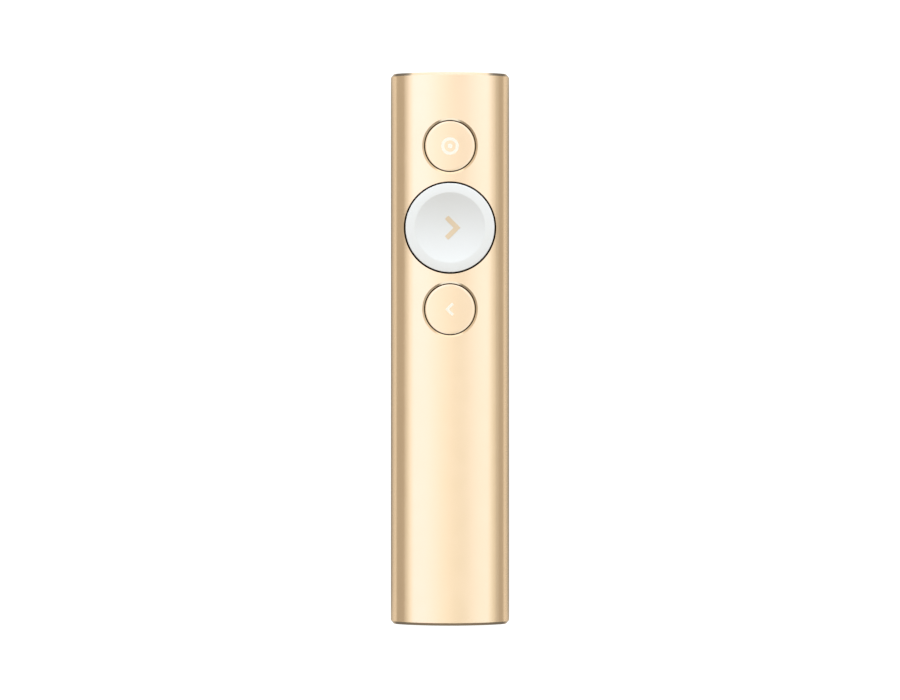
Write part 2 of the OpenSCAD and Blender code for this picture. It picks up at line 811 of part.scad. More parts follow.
module next_button() {
    dish_sphere = (pow(dish_radius, 2) + pow(dish_depth, 2)) / (2 * dish_depth);
    color("#F1F2F0") translate([0, next_y, 0]) difference() {
        rotate_extrude() polygon([
            [0, cap_bottom_z], [large_cap_radius, cap_bottom_z],
            [large_cap_radius, rim_z - rim_fall - cap_bevel],
            [large_cap_radius - cap_bevel, rim_z - rim_fall],
            [dish_radius, rim_z], [0, rim_z]]);
        translate([0, 0, rim_z - dish_depth + dish_sphere])
            sphere(r = dish_sphere, $fn = fine);
        cap_socket(0, large_stem_radius);
    }
}

module pointer_base() button_base(pointer_y, small_stem_radius);

module next_base() button_base(next_y, large_stem_radius);

module back_base() button_base(back_y, small_stem_radius);

module plunger(y) {
    foot_z = board_top_z + button_travel + 2 * plunger_clearance;
    color("#D9A441") post(0, y, plunger_radius, foot_z, flange_bottom_z);
}

module pointer_plunger() plunger(pointer_y);

module next_plunger() plunger(next_y);

module back_plunger() plunger(back_y);

// ---- receiver ----

module receiver_case() {
    inner_width = receiver_width - 2 * (receiver_wall + groove_depth);
    inner_height = receiver_thickness - 2 * receiver_wall;
    color("#2B2B2D") difference() {
        along_y(receiver_tail_y, plug_root_y) translate([0, dock_z])
            rounded(receiver_width, receiver_thickness, receiver_corner);
        // room for the board
        block(inner_width, receiver_tail_y + 2 * receiver_wall, plug_root_y - receiver_wall,
              dock_z - inner_height / 2, dock_z + inner_height / 2);
        // mouth that the plug passes through
        block(plug_width, plug_root_y - 2 * receiver_wall, plug_root_y + overshoot,
              dock_z - plug_thickness / 2, dock_z + plug_thickness / 2);
        // grooves for the rails of the bay
        both_sides() block(2 * groove_depth, receiver_tail_y + bezel_depth - bay_clearance,
                           plug_root_y + overshoot, dock_z - groove_width / 2,
                           dock_z + groove_width / 2, receiver_width / 2);
        // slot for a fingernail in the tail end
        block(receiver_width / 2, receiver_tail_y - overshoot, receiver_tail_y + receiver_wall,
              dock_z - groove_width / 2, dock_z + groove_width / 2);
    }
}

module receiver_board() {
    inset = receiver_wall + groove_depth + slide_fit;
    color("#1F5B3A") block(receiver_width - 2 * inset,
                           receiver_tail_y + 2 * receiver_wall + slide_fit,
                           plug_root_y - receiver_wall - slide_fit,
                           dock_z - receiver_thickness / 2 + receiver_wall,
                           dock_z - receiver_thickness / 2 + receiver_wall
                           + receiver_board_thickness);
}

module receiver_chip() {
    y = (receiver_tail_y + plug_root_y) / 2;
    z = dock_z - receiver_thickness / 2 + receiver_wall + receiver_board_thickness;
    color("#1C1C1E") block(radio_size, y - radio_size / 2, y + radio_size / 2, z,
                           z + radio_height);
}

module receiver_plug_shell() {
    root_y = plug_root_y - receiver_wall;
    window_y = receiver_tip_y - window_setback;
    color("#C7C9CC") difference() {
        along_y(root_y, receiver_tip_y) translate([0, dock_z])
            rounded(plug_width, plug_thickness, plug_corner);
        along_y(root_y - overshoot, receiver_tip_y + overshoot) translate([0, dock_z])
            rounded(plug_width - 2 * plug_sheet, plug_thickness - 2 * plug_sheet,
                    plug_corner - plug_sheet);
        both_sides() block(window_width, window_y - window_length / 2,
                           window_y + window_length / 2, dock_z - plug_thickness,
                           dock_z + plug_thickness, window_x);
    }
}

module receiver_tongue() {
    bottom_z = dock_z - plug_thickness / 2 + plug_sheet;
    color("#EDEDEA") block(plug_width - 2 * plug_corner, plug_root_y - receiver_wall,
                           receiver_tip_y - bay_end_gap, bottom_z, bottom_z + carrier_thickness);
}

module receiver_contacts() {
    z = dock_z - plug_thickness / 2 + plug_sheet + carrier_thickness;
    color("#D4A93A") both_sides() for (pitch = [inner_pitch, outer_pitch])
        block(contact_width, plug_root_y + plug_length / 3, receiver_tip_y - 3 * bay_end_gap, z,
              z + contact_thickness, pitch / 2);
}

housing_sleeve();
nose_cap();
receiver_dock();
chassis_tray();
key_frame();
board_screws();
dock_screws();
main_board();
pointer_switch();
next_switch();
back_switch();
radio_chip();
radio_shield();
motion_sensor();
power_chip();
timing_crystal();
board_capacitors();
antenna();
usb_c_shell();
usb_c_tongue();
battery_cell();
battery_pad();
battery_leads();
battery_connector();
vibration_motor();
motor_pad();
motor_flex();
pointer_button();
pointer_base();
pointer_plunger();
next_button();
next_base();
next_plunger();
back_button();
back_base();
back_plunger();
receiver_case();
receiver_board();
receiver_chip();
receiver_plug_shell();
receiver_tongue();
receiver_contacts();
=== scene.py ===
"""Looks of the wireless presentation clicker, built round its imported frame.

The sleeve, the caps, the printed signs, the nose plug, the dock and the receiver are modelled
here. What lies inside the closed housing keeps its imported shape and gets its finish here.
"""
import json
from math import asin, cos, hypot, pi, radians, sin, sqrt, tau

import bmesh
import bpy
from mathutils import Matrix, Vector


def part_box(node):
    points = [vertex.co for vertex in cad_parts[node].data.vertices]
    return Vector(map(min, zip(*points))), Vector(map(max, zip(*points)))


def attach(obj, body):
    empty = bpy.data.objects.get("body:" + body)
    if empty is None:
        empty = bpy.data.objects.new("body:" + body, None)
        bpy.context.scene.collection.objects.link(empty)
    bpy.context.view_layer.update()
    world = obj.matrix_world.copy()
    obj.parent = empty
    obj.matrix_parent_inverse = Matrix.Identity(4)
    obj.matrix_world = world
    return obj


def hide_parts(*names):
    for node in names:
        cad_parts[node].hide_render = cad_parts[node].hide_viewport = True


MM = 0.001
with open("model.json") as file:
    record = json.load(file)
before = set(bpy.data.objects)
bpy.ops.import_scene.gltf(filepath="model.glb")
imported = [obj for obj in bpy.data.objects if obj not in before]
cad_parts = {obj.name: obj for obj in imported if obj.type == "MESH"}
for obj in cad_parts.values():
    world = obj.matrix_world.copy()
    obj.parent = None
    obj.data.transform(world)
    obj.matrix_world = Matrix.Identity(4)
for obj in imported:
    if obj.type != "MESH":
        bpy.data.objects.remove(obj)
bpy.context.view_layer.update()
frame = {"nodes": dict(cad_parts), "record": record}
bpy.ops.object.select_all(action="DESELECT")

# ---- sizes of the body, in metres ----

SLEEVE_LOW, SLEEVE_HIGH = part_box("housing_sleeve")
LENGTH = SLEEVE_HIGH.y - SLEEVE_LOW.y
WIDTH = SLEEVE_HIGH.x - SLEEVE_LOW.x
HEIGHT = SLEEVE_HIGH.z
NOSE_Y = SLEEVE_HIGH.y
TAIL_Y = SLEEVE_LOW.y

CROWN_RADIUS = 70 * MM      # shallow crown across the top and the back
CROWN_ANGLE = radians(7)    # half of the crown, up to its shoulders
SHOULDER_RADIUS = 14 * MM   # between the crown and the round sides
SIDE_RADIUS = 4.6 * MM
REST_LAND = 14 * MM         # flat land along the back
WALL = 1.2 * MM
END_BOW = 0.4 * MM          # the middle of each end stands out by this
PLAN_CORNER = 1.1 * MM      # corners seen from above, a little tighter than the solid's
EDGE_BREAK = 0.62 * MM      # bevel round both ends, a little wider than the solid's
SLIDE_FIT = 0.1 * MM
END_RECESS = 0.3 * MM
SMALL_GAP = 0.25 * MM       # round the small caps
LARGE_GAP = 0.42 * MM       # round the large cap
LIP_WIDTH = 0.45 * MM       # shallow lip round the small holes
LIP_DEPTH = 0.24 * MM

SIDE_X = WIDTH / 2 - SIDE_RADIUS
SHOULDER_X = (CROWN_RADIUS - SHOULDER_RADIUS) * sin(CROWN_ANGLE)
SHOULDER_DROP = CROWN_RADIUS - (CROWN_RADIUS - SHOULDER_RADIUS) * cos(CROWN_ANGLE)
SHOULDER_ANGLE = asin((SIDE_X - SHOULDER_X) / (SHOULDER_RADIUS - SIDE_RADIUS))
SIDE_DROP = SHOULDER_DROP - (SHOULDER_RADIUS - SIDE_RADIUS) * cos(SHOULDER_ANGLE)
LAND_SAG = CROWN_RADIUS - sqrt(CROWN_RADIUS ** 2 - REST_LAND ** 2 / 4)
UPPER_SIDE_Z = HEIGHT - SIDE_DROP
LOWER_SIDE_Z = SIDE_DROP - LAND_SAG

TOUCH = 0.01 * MM           # places closer than this are taken as one
WELD = 0.002 * MM           # points closer than this are merged
ROUND_SIDES = 160           # of small caps and holes
ROUND, FLAT = 0.5, 0.25     # profiles of a bevel


def cap_place(node):
    """Middle, radius and top of a round cap."""
    low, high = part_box(node)
    return (low + high) / 2, (high.x - low.x) / 2, high.z


# ---- bench tools ----

def start(name, primitive, **size):
    """A new piece from a primitive, in edit mode with all of it selected."""
    bpy.ops.object.select_all(action="DESELECT")
    getattr(bpy.ops.mesh, f"primitive_{primitive}_add")(**size)
    piece = bpy.context.object
    piece.name = piece.data.name = name
    bpy.ops.object.mode_set(mode="EDIT")
    bpy.ops.mesh.select_all(action="SELECT")
    return piece


def start_block(name, width, y0, y1, z0, z1, x=0.0):
    """A new block about x, from y0 to y1 and z0 to z1."""
    piece = start(name, "cube", size=1)
    bpy.ops.transform.resize(value=(width, y1 - y0, z1 - z0))
    bpy.ops.transform.translate(value=(x, (y0 + y1) / 2, (z0 + z1) / 2))
    return piece


def start_point(name, place):
    """A new piece of a single point, from which an outline is drawn by spins and extrusions."""
    piece = start(name, "plane", size=MM)
    bpy.ops.mesh.merge(type="CENTER")
    bpy.ops.transform.translate(value=place)
    return piece


def pick(piece, test, kind="FACE"):
    """In edit mode, selects the faces, edges or vertices that pass the test."""
    bpy.ops.mesh.select_mode(type=kind)
    bpy.ops.mesh.select_all(action="DESELECT")
    mesh = bmesh.from_edit_mesh(piece.data)
    mesh.normal_update()
    for part in {"VERT": mesh.verts, "EDGE": mesh.edges, "FACE": mesh.faces}[kind]:
        if test(part):
            part.select_set(True)
    mesh.select_flush_mode()
    bmesh.update_edit_mesh(piece.data)


def bevel(piece, test, size, segments, profile=ROUND):
    """In edit mode, bevels the edges that pass the test."""
    pick(piece, test, "EDGE")
    bpy.ops.mesh.bevel(offset=size, segments=segments, affect="EDGES", profile=profile)


def extrude(x, y, z):
    """In edit mode, extrudes what is selected."""
    bpy.ops.mesh.extrude_region_move(TRANSFORM_OT_translate={"value": (x, y, z)})


def merge_all():
    """In edit mode, selects everything and merges doubles."""
    bpy.ops.mesh.select_all(action="SELECT")
    bpy.ops.mesh.remove_doubles(threshold=WELD)


def close_up(piece):
    """Merges doubles, turns the faces outwards and leaves edit mode."""
    bpy.ops.mesh.select_mode(type="VERT")
    merge_all()
    bpy.ops.mesh.normals_make_consistent(inside=False)
    bpy.ops.object.mode_set(mode="OBJECT")
    return piece


def select_only(*pieces):
    """Selects the pieces and makes the last of them active."""
    bpy.ops.object.select_all(action="DESELECT")
    for piece in pieces:
        piece.select_set(True)
    bpy.context.view_layer.objects.active = pieces[-1]


def join(extra, piece):
    """Takes the extra piece into the piece as it is."""
    select_only(extra, piece)
    bpy.ops.object.join()
    return piece


def settle(piece):
    """Puts the piece's place into its mesh, so that the object sits at the origin."""
    select_only(piece)
    bpy.ops.object.transform_apply(location=True, rotation=True, scale=True)


def settle_in_edit(piece):
    """Settles a piece that is being edited, so that places read as they are."""
    bpy.ops.object.mode_set(mode="OBJECT")
    settle(piece)
    bpy.ops.object.mode_set(mode="EDIT")


def modify(piece, kind, **settings):
    """Adds a modifier and applies it."""
    bpy.context.view_layer.objects.active = piece
    modifier = piece.modifiers.new(kind.title(), kind)
    for key, value in settings.items():
        setattr(modifier, key, value)
    bpy.ops.object.modifier_apply(modifier=modifier.name)


def cut(piece, tool, operation="DIFFERENCE"):
    """Takes the tool's shape out of the piece and throws the tool away."""
    modify(piece, "BOOLEAN", object=tool, operation=operation, solver="EXACT")
    bpy.data.objects.remove(tool)


def unite(piece, extra):
    """Makes the extra piece one solid with the piece."""
    cut(piece, extra, "UNION")


def smooth(piece, angle=30):
    """Shades the piece smooth except along edges that turn by more than the angle, in degrees."""
    select_only(piece)
    bpy.ops.object.shade_smooth_by_angle(angle=radians(angle))


def hand_over(piece, body, surface, replaces=None):
    """The piece gets its finish and rides on its body."""
    settle(piece)
    piece.data.materials.clear()
    piece.data.materials.append(surface)
    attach(piece, body)
    if replaces:
        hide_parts(replaces)


# ---- outlines, and what is made of them ----

# Straight steps that each arc is drawn in.
CROWN_STEPS = 14
SHOULDER_STEPS = 8
SIDE_STEPS = 28
LAND_STEPS = 2              # from the lower shoulder to the land
CORNER_STEPS = 8            # of a rounded rectangle


def turn(x, z, angle, steps):
    """Carries the drawn line round (x, z) by an angle, clockwise as seen from the tail."""
    bpy.ops.mesh.spin(steps=steps, angle=-angle, center=(x, 0, z), axis=(0, 1, 0), dupli=False)


def go(x, z):
    """Carries the drawn line straight on."""
    extrude(x, 0, z)


def draw_section(name, inset, y):
    """Closed cross-section of the sleeve, inset all round, drawn at y."""
    land_half = sqrt((CROWN_RADIUS - inset) ** 2 - (CROWN_RADIUS - LAND_SAG - inset) ** 2)
    back_turn = CROWN_ANGLE - asin(land_half / (CROWN_RADIUS - inset))
    side_turn = pi / 2 - SHOULDER_ANGLE
    shoulder_turn = SHOULDER_ANGLE - CROWN_ANGLE
    back_z = CROWN_RADIUS - LAND_SAG
    piece = start_point(name, (0, y, HEIGHT - inset))
    turn(0, HEIGHT - CROWN_RADIUS, CROWN_ANGLE, CROWN_STEPS)
    turn(SHOULDER_X, HEIGHT - SHOULDER_DROP, shoulder_turn, SHOULDER_STEPS)
    turn(SIDE_X, UPPER_SIDE_Z, side_turn, SIDE_STEPS)
    go(0, LOWER_SIDE_Z - UPPER_SIDE_Z)
    turn(SIDE_X, LOWER_SIDE_Z, side_turn, SIDE_STEPS)
    turn(SHOULDER_X, SHOULDER_DROP - LAND_SAG, shoulder_turn, SHOULDER_STEPS)
    turn(0, back_z, back_turn, LAND_STEPS)
    go(-2 * land_half, 0)
    turn(0, back_z, back_turn, LAND_STEPS)
    turn(-SHOULDER_X, SHOULDER_DROP - LAND_SAG, shoulder_turn, SHOULDER_STEPS)
    turn(-SIDE_X, LOWER_SIDE_Z, side_turn, SIDE_STEPS)
    go(0, UPPER_SIDE_Z - LOWER_SIDE_Z)
    turn(-SIDE_X, UPPER_SIDE_Z, side_turn, SIDE_STEPS)
    turn(-SHOULDER_X, HEIGHT - SHOULDER_DROP, shoulder_turn, SHOULDER_STEPS)
    turn(0, HEIGHT - CROWN_RADIUS, CROWN_ANGLE, CROWN_STEPS)
    merge_all()
    return piece


def draw_rounded(name, width, height, radius, y, z):
    """Closed rounded rectangle about (0, z), drawn at y."""
    x, up = width / 2 - radius, height / 2 - radius
    piece = start_point(name, (-x, y, z + height / 2))
    go(2 * x, 0)
    for corner_x, corner_z, run in ((x, up, (0, -2 * up)), (x, -up, (-2 * x, 0)),
                                    (-x, -up, (0, 2 * up)), (-x, up, None)):
        turn(corner_x, z + corner_z, pi / 2, CORNER_STEPS)
        if run:
            go(*run)
    merge_all()
    return piece


def drawn(outline, *place):
    """Draws an outline and leaves edit mode, so that another one can be drawn."""
    piece = outline(*place)
    bpy.ops.object.mode_set(mode="OBJECT")
    return piece


def extrude_all(depth):
    """Extrudes the drawn faces towards the nose and turns all faces outwards."""
    extrude(0, depth, 0)
    bpy.ops.mesh.select_all(action="SELECT")
    bpy.ops.mesh.normals_make_consistent(inside=False)


def extrude_solid(piece, depth):
    """Fills the drawn outline and extrudes it towards the nose."""
    bpy.ops.mesh.edge_face_add()
    extrude_all(depth)
    return piece


def extrude_ring(outer, inner, depth):
    """Bridges two drawn outlines and extrudes the ring towards the nose."""
    bpy.ops.object.mode_set(mode="OBJECT")
    join(inner, outer)
    bpy.ops.object.mode_set(mode="EDIT")
    bpy.ops.mesh.select_mode(type="EDGE")
    bpy.ops.mesh.select_all(action="SELECT")
    bpy.ops.mesh.bridge_edge_loops()
    bpy.ops.mesh.select_all(action="SELECT")
    extrude_all(depth)
    return outer


def bevel_rim(piece, y, size, segments, axis=None, outside=True, profile=ROUND):
    """Bevels the rim of the end face at y: all of it, or with an axis its outer or inner side."""
    def on_rim(edge):
        if any(abs(v.co.y - y) > TOUCH for v in edge.verts):
            return False
        walls = [f for f in edge.link_faces if abs(f.normal.y) < 0.5]
        if len(walls) != 1 or len(edge.link_faces) != 2:
            return False
        if axis is None:
            return True
        spoke = (edge.verts[0].co + edge.verts[1].co) / 2 - axis
        spoke.y = 0
        return (walls[0].normal.dot(spoke) > 0) == outside
    bevel(piece, on_rim, size, segments, profile)


def crown_sag(x, radius=CROWN_RADIUS):
    """How far a crown has fallen at x from the middle."""
    return radius - sqrt(radius ** 2 - x ** 2)


def depth_below_side(point):
    """How far a point lies inside the round side of the sleeve."""
    z = min(max(point.z, LOWER_SIDE_Z), UPPER_SIDE_Z)
    return SIDE_RADIUS - hypot(abs(point.x) - SIDE_X, point.z - z)


def shape_ends(piece, reach):
    """Bows both ends and rounds their corners as seen from above, over the last stretch."""
    corner_x = WIDTH / 2 - PLAN_CORNER
    for vertex in piece.data.vertices:
        x = abs(vertex.co.x)
        end = 1 if vertex.co.y > 0 else -1
        if NOSE_Y - abs(vertex.co.y) > reach:
            continue
        back = END_BOW * (2 * x / WIDTH) ** 2
        if x > corner_x:
            # The bevel takes its own share off the corner, so the rounding leaves that out.
            beveled = max(EDGE_BREAK - depth_below_side(vertex.co), 0)
            back += PLAN_CORNER - sqrt(max(PLAN_CORNER ** 2 - (x - corner_x) ** 2, 0))
            back -= beveled * ((x - corner_x) / PLAN_CORNER) ** 2
        vertex.co.y -= end * back


# ---- finishes ----

def linear(hex_code):
    """An sRGB hex colour as linear RGBA."""
    channels = [int(hex_code[i:i + 2], 16) / 255 for i in (1, 3, 5)]
    return [c / 12.92 if c <= 0.04045 else ((c + 0.055) / 1.055) ** 2.4 for c in channels] + [1]


def add(tree, kind, settings=None, links=None):
    """Adds a node, with its settings and with values or sockets for its inputs."""
    node = tree.nodes.new(kind)
    for key, value in (settings or {}).items():
        setattr(node, key, value)
    for key, value in (links or {}).items():
        if isinstance(value, bpy.types.NodeSocket):
            tree.links.new(value, node.inputs[key])
        else:
            node.inputs[key].default_value = value
    return node


NOISE_RANGE = 0.3, 0.7      # most of a noise lies between these
GLOSS_DRIFT = 0.06          # share by which the roughness drifts


def finish(name, hex_code, roughness, metallic=0.0, grain=0.3, bump=0.02, mottle=0.06,
           mottle_size=6.0, stretch=(1, 1, 1), **sockets):
    """A surface with a fine grain in its relief and a slow drift in tone and roughness.

    grain and mottle_size are millimetres, bump is the height of the grain in millimetres,
    mottle is the share by which the tone drifts, and stretch draws the grain out along an axis.
    """
    made = bpy.data.materials.new(name)
    made.use_nodes = True
    tree = made.node_tree
    shader = tree.nodes["Principled BSDF"]
    place = add(tree, "ShaderNodeTexCoord").outputs["Object"]
    stretched = add(tree, "ShaderNodeMapping", None, {"Vector": place, "Scale": stretch})
    fine = add(tree, "ShaderNodeTexNoise", None,
               {"Vector": stretched.outputs["Vector"], "Scale": 1 / (grain * MM), "Detail": 2.0})
    slow = add(tree, "ShaderNodeTexNoise", None,
               {"Vector": place, "Scale": 1 / (mottle_size * MM), "Detail": 3.0})
    base = linear(hex_code)
    shade = add(tree, "ShaderNodeMix", {"data_type": "RGBA"}, {
        "Factor": slow.outputs["Fac"],
        "A": [c * (1 - mottle) for c in base[:3]] + [1],
        "B": [min(c * (1 + mottle), 1) for c in base[:3]] + [1]})
    gloss = add(tree, "ShaderNodeMapRange", None, {
        "Value": slow.outputs["Fac"], "From Min": NOISE_RANGE[0], "From Max": NOISE_RANGE[1],
        "To Min": roughness * (1 - GLOSS_DRIFT), "To Max": roughness * (1 + GLOSS_DRIFT)})
    relief = add(tree, "ShaderNodeBump", None,
                 {"Height": fine.outputs["Fac"], "Distance": bump * MM, "Strength": 1.0})
    tree.links.new(shade.outputs["Result"], shader.inputs["Base Color"])
    tree.links.new(gloss.outputs["Result"], shader.inputs["Roughness"])
    tree.links.new(relief.outputs["Normal"], shader.inputs["Normal"])
    shader.inputs["Metallic"].default_value = metallic
    for key, value in sockets.items():
        shader.inputs[key.replace("_", " ")].default_value = value
    return made


GOLD = "#F3DABC"

# Extruded aluminium, bead blasted and anodised champagne gold: an even satin metal. The
# blasted grit is 0.1 mm, drawn at 0.3 mm so that it shows as a faint sparkle.
anodised_aluminium = finish("anodised_aluminium", GOLD, 0.24, metallic=1.0, grain=0.3,
                            bump=0.0006, mottle=0.01)
# The same metal where a diamond tool cut the bevels after blasting: far glossier, and a shade
# paler as painted highlight.
diamond_cut_highlight_aluminium = finish("diamond_cut_highlight_aluminium", "#F6DEC0", 0.16, metallic=1.0,
                               grain=0.3, bump=0.0002, mottle=0.01)
# Turned caps, blasted and anodised with the sleeve.
turned_aluminium = finish("turned_aluminium", GOLD, 0.24, metallic=1.0, grain=0.3, bump=0.0006,
                          mottle=0.01)
# Moulded ABS in plain white with a satin, fine-eroded skin.
white_abs = finish("white_abs", "#E5E5E4", 0.3, grain=0.3, bump=0.0005, mottle=0.006)
# The same ABS where the mould is polished, round the dish: smoother, and a shade brighter as
# painted light.
painted_light_rim_abs = finish("painted_light_rim_abs", "#EAEAE9", 0.24, grain=0.3, bump=0.0003, mottle=0.004)
# Pad-printed ink of the two small signs, matt and slightly raised.
white_ink = finish("white_ink", "#FCF7E8", 0.5, grain=0.2, bump=0.001, mottle=0.005)
# Hot-stamped foil of the large sign, in the colour of the sleeve.
stamped_foil = finish("stamped_foil", "#E1CAAA", 0.35, grain=0.2, bump=0.001, mottle=0.02)
# Moulded PC-ABS, spark-eroded matt.
bronze_plastic = finish("bronze_plastic", "#8A7150", 0.5, grain=0.25, bump=0.004)
charcoal_plastic = finish("charcoal_plastic", "#3B3937", 0.5, grain=0.25, bump=0.004)
black_plastic = finish("black_plastic", "#29292B", 0.5, grain=0.25, bump=0.004,
                       Specular_IOR_Level=0.2)
# Black acetal of the frame under the caps and of the switches, dead matt; its brown-black tone
# and weak specular are painted shade deep in the gaps.
black_acetal_gap_shade = finish("black_acetal_gap_shade", "#1D1004", 0.6, grain=0.25, bump=0.004,
                      Specular_IOR_Level=0.08)
natural_plastic = finish("natural_plastic", "#D6D2C9", 0.45, grain=0.4, bump=0.003)
amber_plastic = finish("amber_plastic", "#D6A24A", 0.4, grain=0.4, bump=0.003)
carrier_plastic = finish("carrier_plastic", "#EDEDEA", 0.4, grain=0.4, bump=0.002)
# Solder resist over copper: glossy green with a slow waviness.
solder_resist = finish("solder_resist", "#1F5B3A", 0.28, grain=1.2, bump=0.006)
chip_resin = finish("chip_resin", "#1C1C1E", 0.6, grain=0.15, bump=0.006)
# Pressed sheet, tinned; the rolling lines run along the body.
tinned_steel = finish("tinned_steel", "#C3C5C9", 0.27, metallic=1.0, grain=0.5, bump=0.0008,
                      stretch=(4, 0.2, 4))
zinc_plate = finish("zinc_plate", "#B5B7BB", 0.35, metallic=1.0, grain=0.3, bump=0.002)
fired_ceramic = finish("fired_ceramic", "#CDBB9A", 0.55, grain=0.1, bump=0.003)
pouch_foil = finish("pouch_foil", "#A9ADB1", 0.35, metallic=1.0, grain=1.5, bump=0.02)
foam_tape = finish("foam_tape", "#EFECE5", 0.85, grain=0.2, bump=0.02)
lead_rubber = finish("lead_rubber", "#A8352A", 0.5, grain=0.2, bump=0.003)
polyimide = finish("polyimide", "#C48A2E", 0.3, grain=0.4, bump=0.002)
gold_plate = finish("gold_plate", "#E2BC62", 0.2, metallic=1.0, grain=0.3, bump=0.0005)

# The black_plastic slot gets the acetal darkened as painted shade in the gaps.
SLOT_FINISHES = {
    "anodised_aluminium": anodised_aluminium, "cap_aluminium": turned_aluminium,
    "white_abs": white_abs, "bronze_plastic": bronze_plastic,
    "charcoal_plastic": charcoal_plastic, "black_plastic": black_acetal_gap_shade,
    "natural_plastic": natural_plastic, "plunger_plastic": amber_plastic,
    "carrier_plastic": carrier_plastic, "circuit_board": solder_resist,
    "chip_resin": chip_resin, "tinned_steel": tinned_steel, "screw_steel": zinc_plate,
    "ceramic": fired_ceramic, "cell_foil": pouch_foil, "foam_tape": foam_tape,
    "lead_rubber": lead_rubber, "flex_film": polyimide, "gold_contacts": gold_plate,
}


def finish_frame():
    """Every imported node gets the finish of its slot."""
    for part in frame["record"]["subparts"]:
        node = frame["nodes"][part["node"]]
        node.data.materials.clear()
        node.data.materials.append(SLOT_FINISHES[part["material_slot"]])


# ---- sleeve ----

BEVEL_SEGMENTS = 5
END_STRETCH = 1.5 * EDGE_BREAK      # of the sleeve, that is bowed with the end
LIP_REACH = 3               # a lip's cutter runs on past the crown, to this many times its size
END_TILT = 0.2              # a bevelled face of an end points along the body by more than this
LIP_TILT = 0.3, 0.8         # a face of a lip points sideways by this much


def hole_cutter(place, radius, lipped):
    """A round cutter that follows the crown, flared over it where the hole has a lip."""
    base_z = HEIGHT / 2
    lip_z = HEIGHT - (LIP_DEPTH if lipped else 0)
    cutter = start("hole", "cylinder", vertices=ROUND_SIDES, radius=radius,
                   depth=lip_z - base_z, location=(0, place.y, (base_z + lip_z) / 2))
    pick(cutter, lambda face: face.normal.z > 0.9)
    if lipped:
        flare = (radius + LIP_REACH * LIP_WIDTH) / radius
        extrude(0, 0, LIP_REACH * LIP_DEPTH)
        bpy.ops.transform.resize(value=(flare, flare, 1),
                                 center_override=(0, place.y, HEIGHT))
    extrude(0, 0, HEIGHT / 4)
    close_up(cutter)
    for vertex in cutter.data.vertices:
        vertex.co.z -= crown_sag(min(abs(vertex.co.x), SHOULDER_X))
    return cutter


def polish_bevels(sleeve):
    """The end bevels and the lips get the finish of the diamond cut, a shade paler as painted
    highlight.
    """
    end_depth = 2 * EDGE_BREAK + END_BOW + PLAN_CORNER
    small_holes = [cap_place(node)[:2] for node in ("pointer_button", "back_button")]
    sleeve.data.materials.append(diamond_cut_highlight_aluminium)
    for face in sleeve.data.polygons:
        at_end = NOSE_Y - abs(face.center.y) < end_depth
        at_lip = face.center.z > UPPER_SIDE_Z and any(
            (face.center.xy - place.xy).length < radius + SMALL_GAP + 1.2 * LIP_WIDTH
            for place, radius in small_holes)
        if (at_end and abs(face.normal.y) > END_TILT) or (
                at_lip and LIP_TILT[0] < hypot(*face.normal.xy) < LIP_TILT[1]):
            face.material_index = 1


def make_sleeve():
    """Extruded tube, its ends bevelled and bowed, with three holes through the crown."""
    bore = drawn(draw_section, "bore", WALL, TAIL_Y)
    sleeve = extrude_ring(draw_section("sleeve", 0, TAIL_Y), bore, LENGTH)
    axis = Vector((0, 0, HEIGHT / 2))
    for y in (TAIL_Y, NOSE_Y):
        bevel_rim(sleeve, y, EDGE_BREAK, BEVEL_SEGMENTS, axis, profile=FLAT)
    close_up(sleeve)
    shape_ends(sleeve, END_STRETCH)
    for node, gap, lipped in (("pointer_button", SMALL_GAP, True),
                              ("next_button", LARGE_GAP, False),
                              ("back_button", SMALL_GAP, True)):
        place, radius, _ = cap_place(node)
        cut(sleeve, hole_cutter(place, radius + gap, lipped))
    smooth(sleeve, angle=24)
    modify(sleeve, "WEIGHTED_NORMAL", keep_sharp=True)
    hand_over(sleeve, "housing", anodised_aluminium, "housing_sleeve")
    polish_bevels(sleeve)


# ---- caps ----

CAP_CROWN = 90 * MM         # a little flatter than the sleeve
CAP_ROUNDING = 0.1 * MM
CAP_RINGS = 12              # of its face, so that it can follow the crown

DISH_RADIUS = 8.35 * MM
DISH_DEPTH = 0.8 * MM
DISH_SPHERE = (DISH_RADIUS ** 2 + DISH_DEPTH ** 2) / (2 * DISH_DEPTH)
DISH_STEPS = 20
DISH_CREASE = 0.12 * MM     # rounding where the dish meets the rim
RIM_FALL = 0.05 * MM        # of the rim towards its edge
RIM_ROUNDING = 0.12 * MM
LARGE_CAP_SIDES = 192


def make_small_cap(name, node, body):
    """Turned metal cap whose face follows the crown of the sleeve."""
    place, radius, top = cap_place(node)
    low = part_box(node)[0].z
    cap = start(name, "cylinder", vertices=ROUND_SIDES, radius=radius, depth=top - low,
                location=(place.x, place.y, (top + low) / 2))
    settle_in_edit(cap)
    bevel(cap, lambda edge: all(v.co.z > top - TOUCH for v in edge.verts), CAP_ROUNDING,
          segments=2)
    pick(cap, lambda face: face.normal.z > 0.99 and len(face.verts) > 8)
    for _ in range(CAP_RINGS):
        bpy.ops.mesh.inset(thickness=radius / (CAP_RINGS + 1), depth=0)
    close_up(cap)
    for vertex in cap.data.vertices:
        if vertex.co.z > (top + low) / 2:
            vertex.co.z -= crown_sag(vertex.co.x, CAP_CROWN)
    smooth(cap, angle=25)
    hand_over(cap, body, turned_aluminium, node)


def dish_height(top, distance):
    """Height of the dish's surface at a distance from its middle."""
    return top - DISH_DEPTH + DISH_SPHERE - sqrt(DISH_SPHERE ** 2 - distance ** 2)


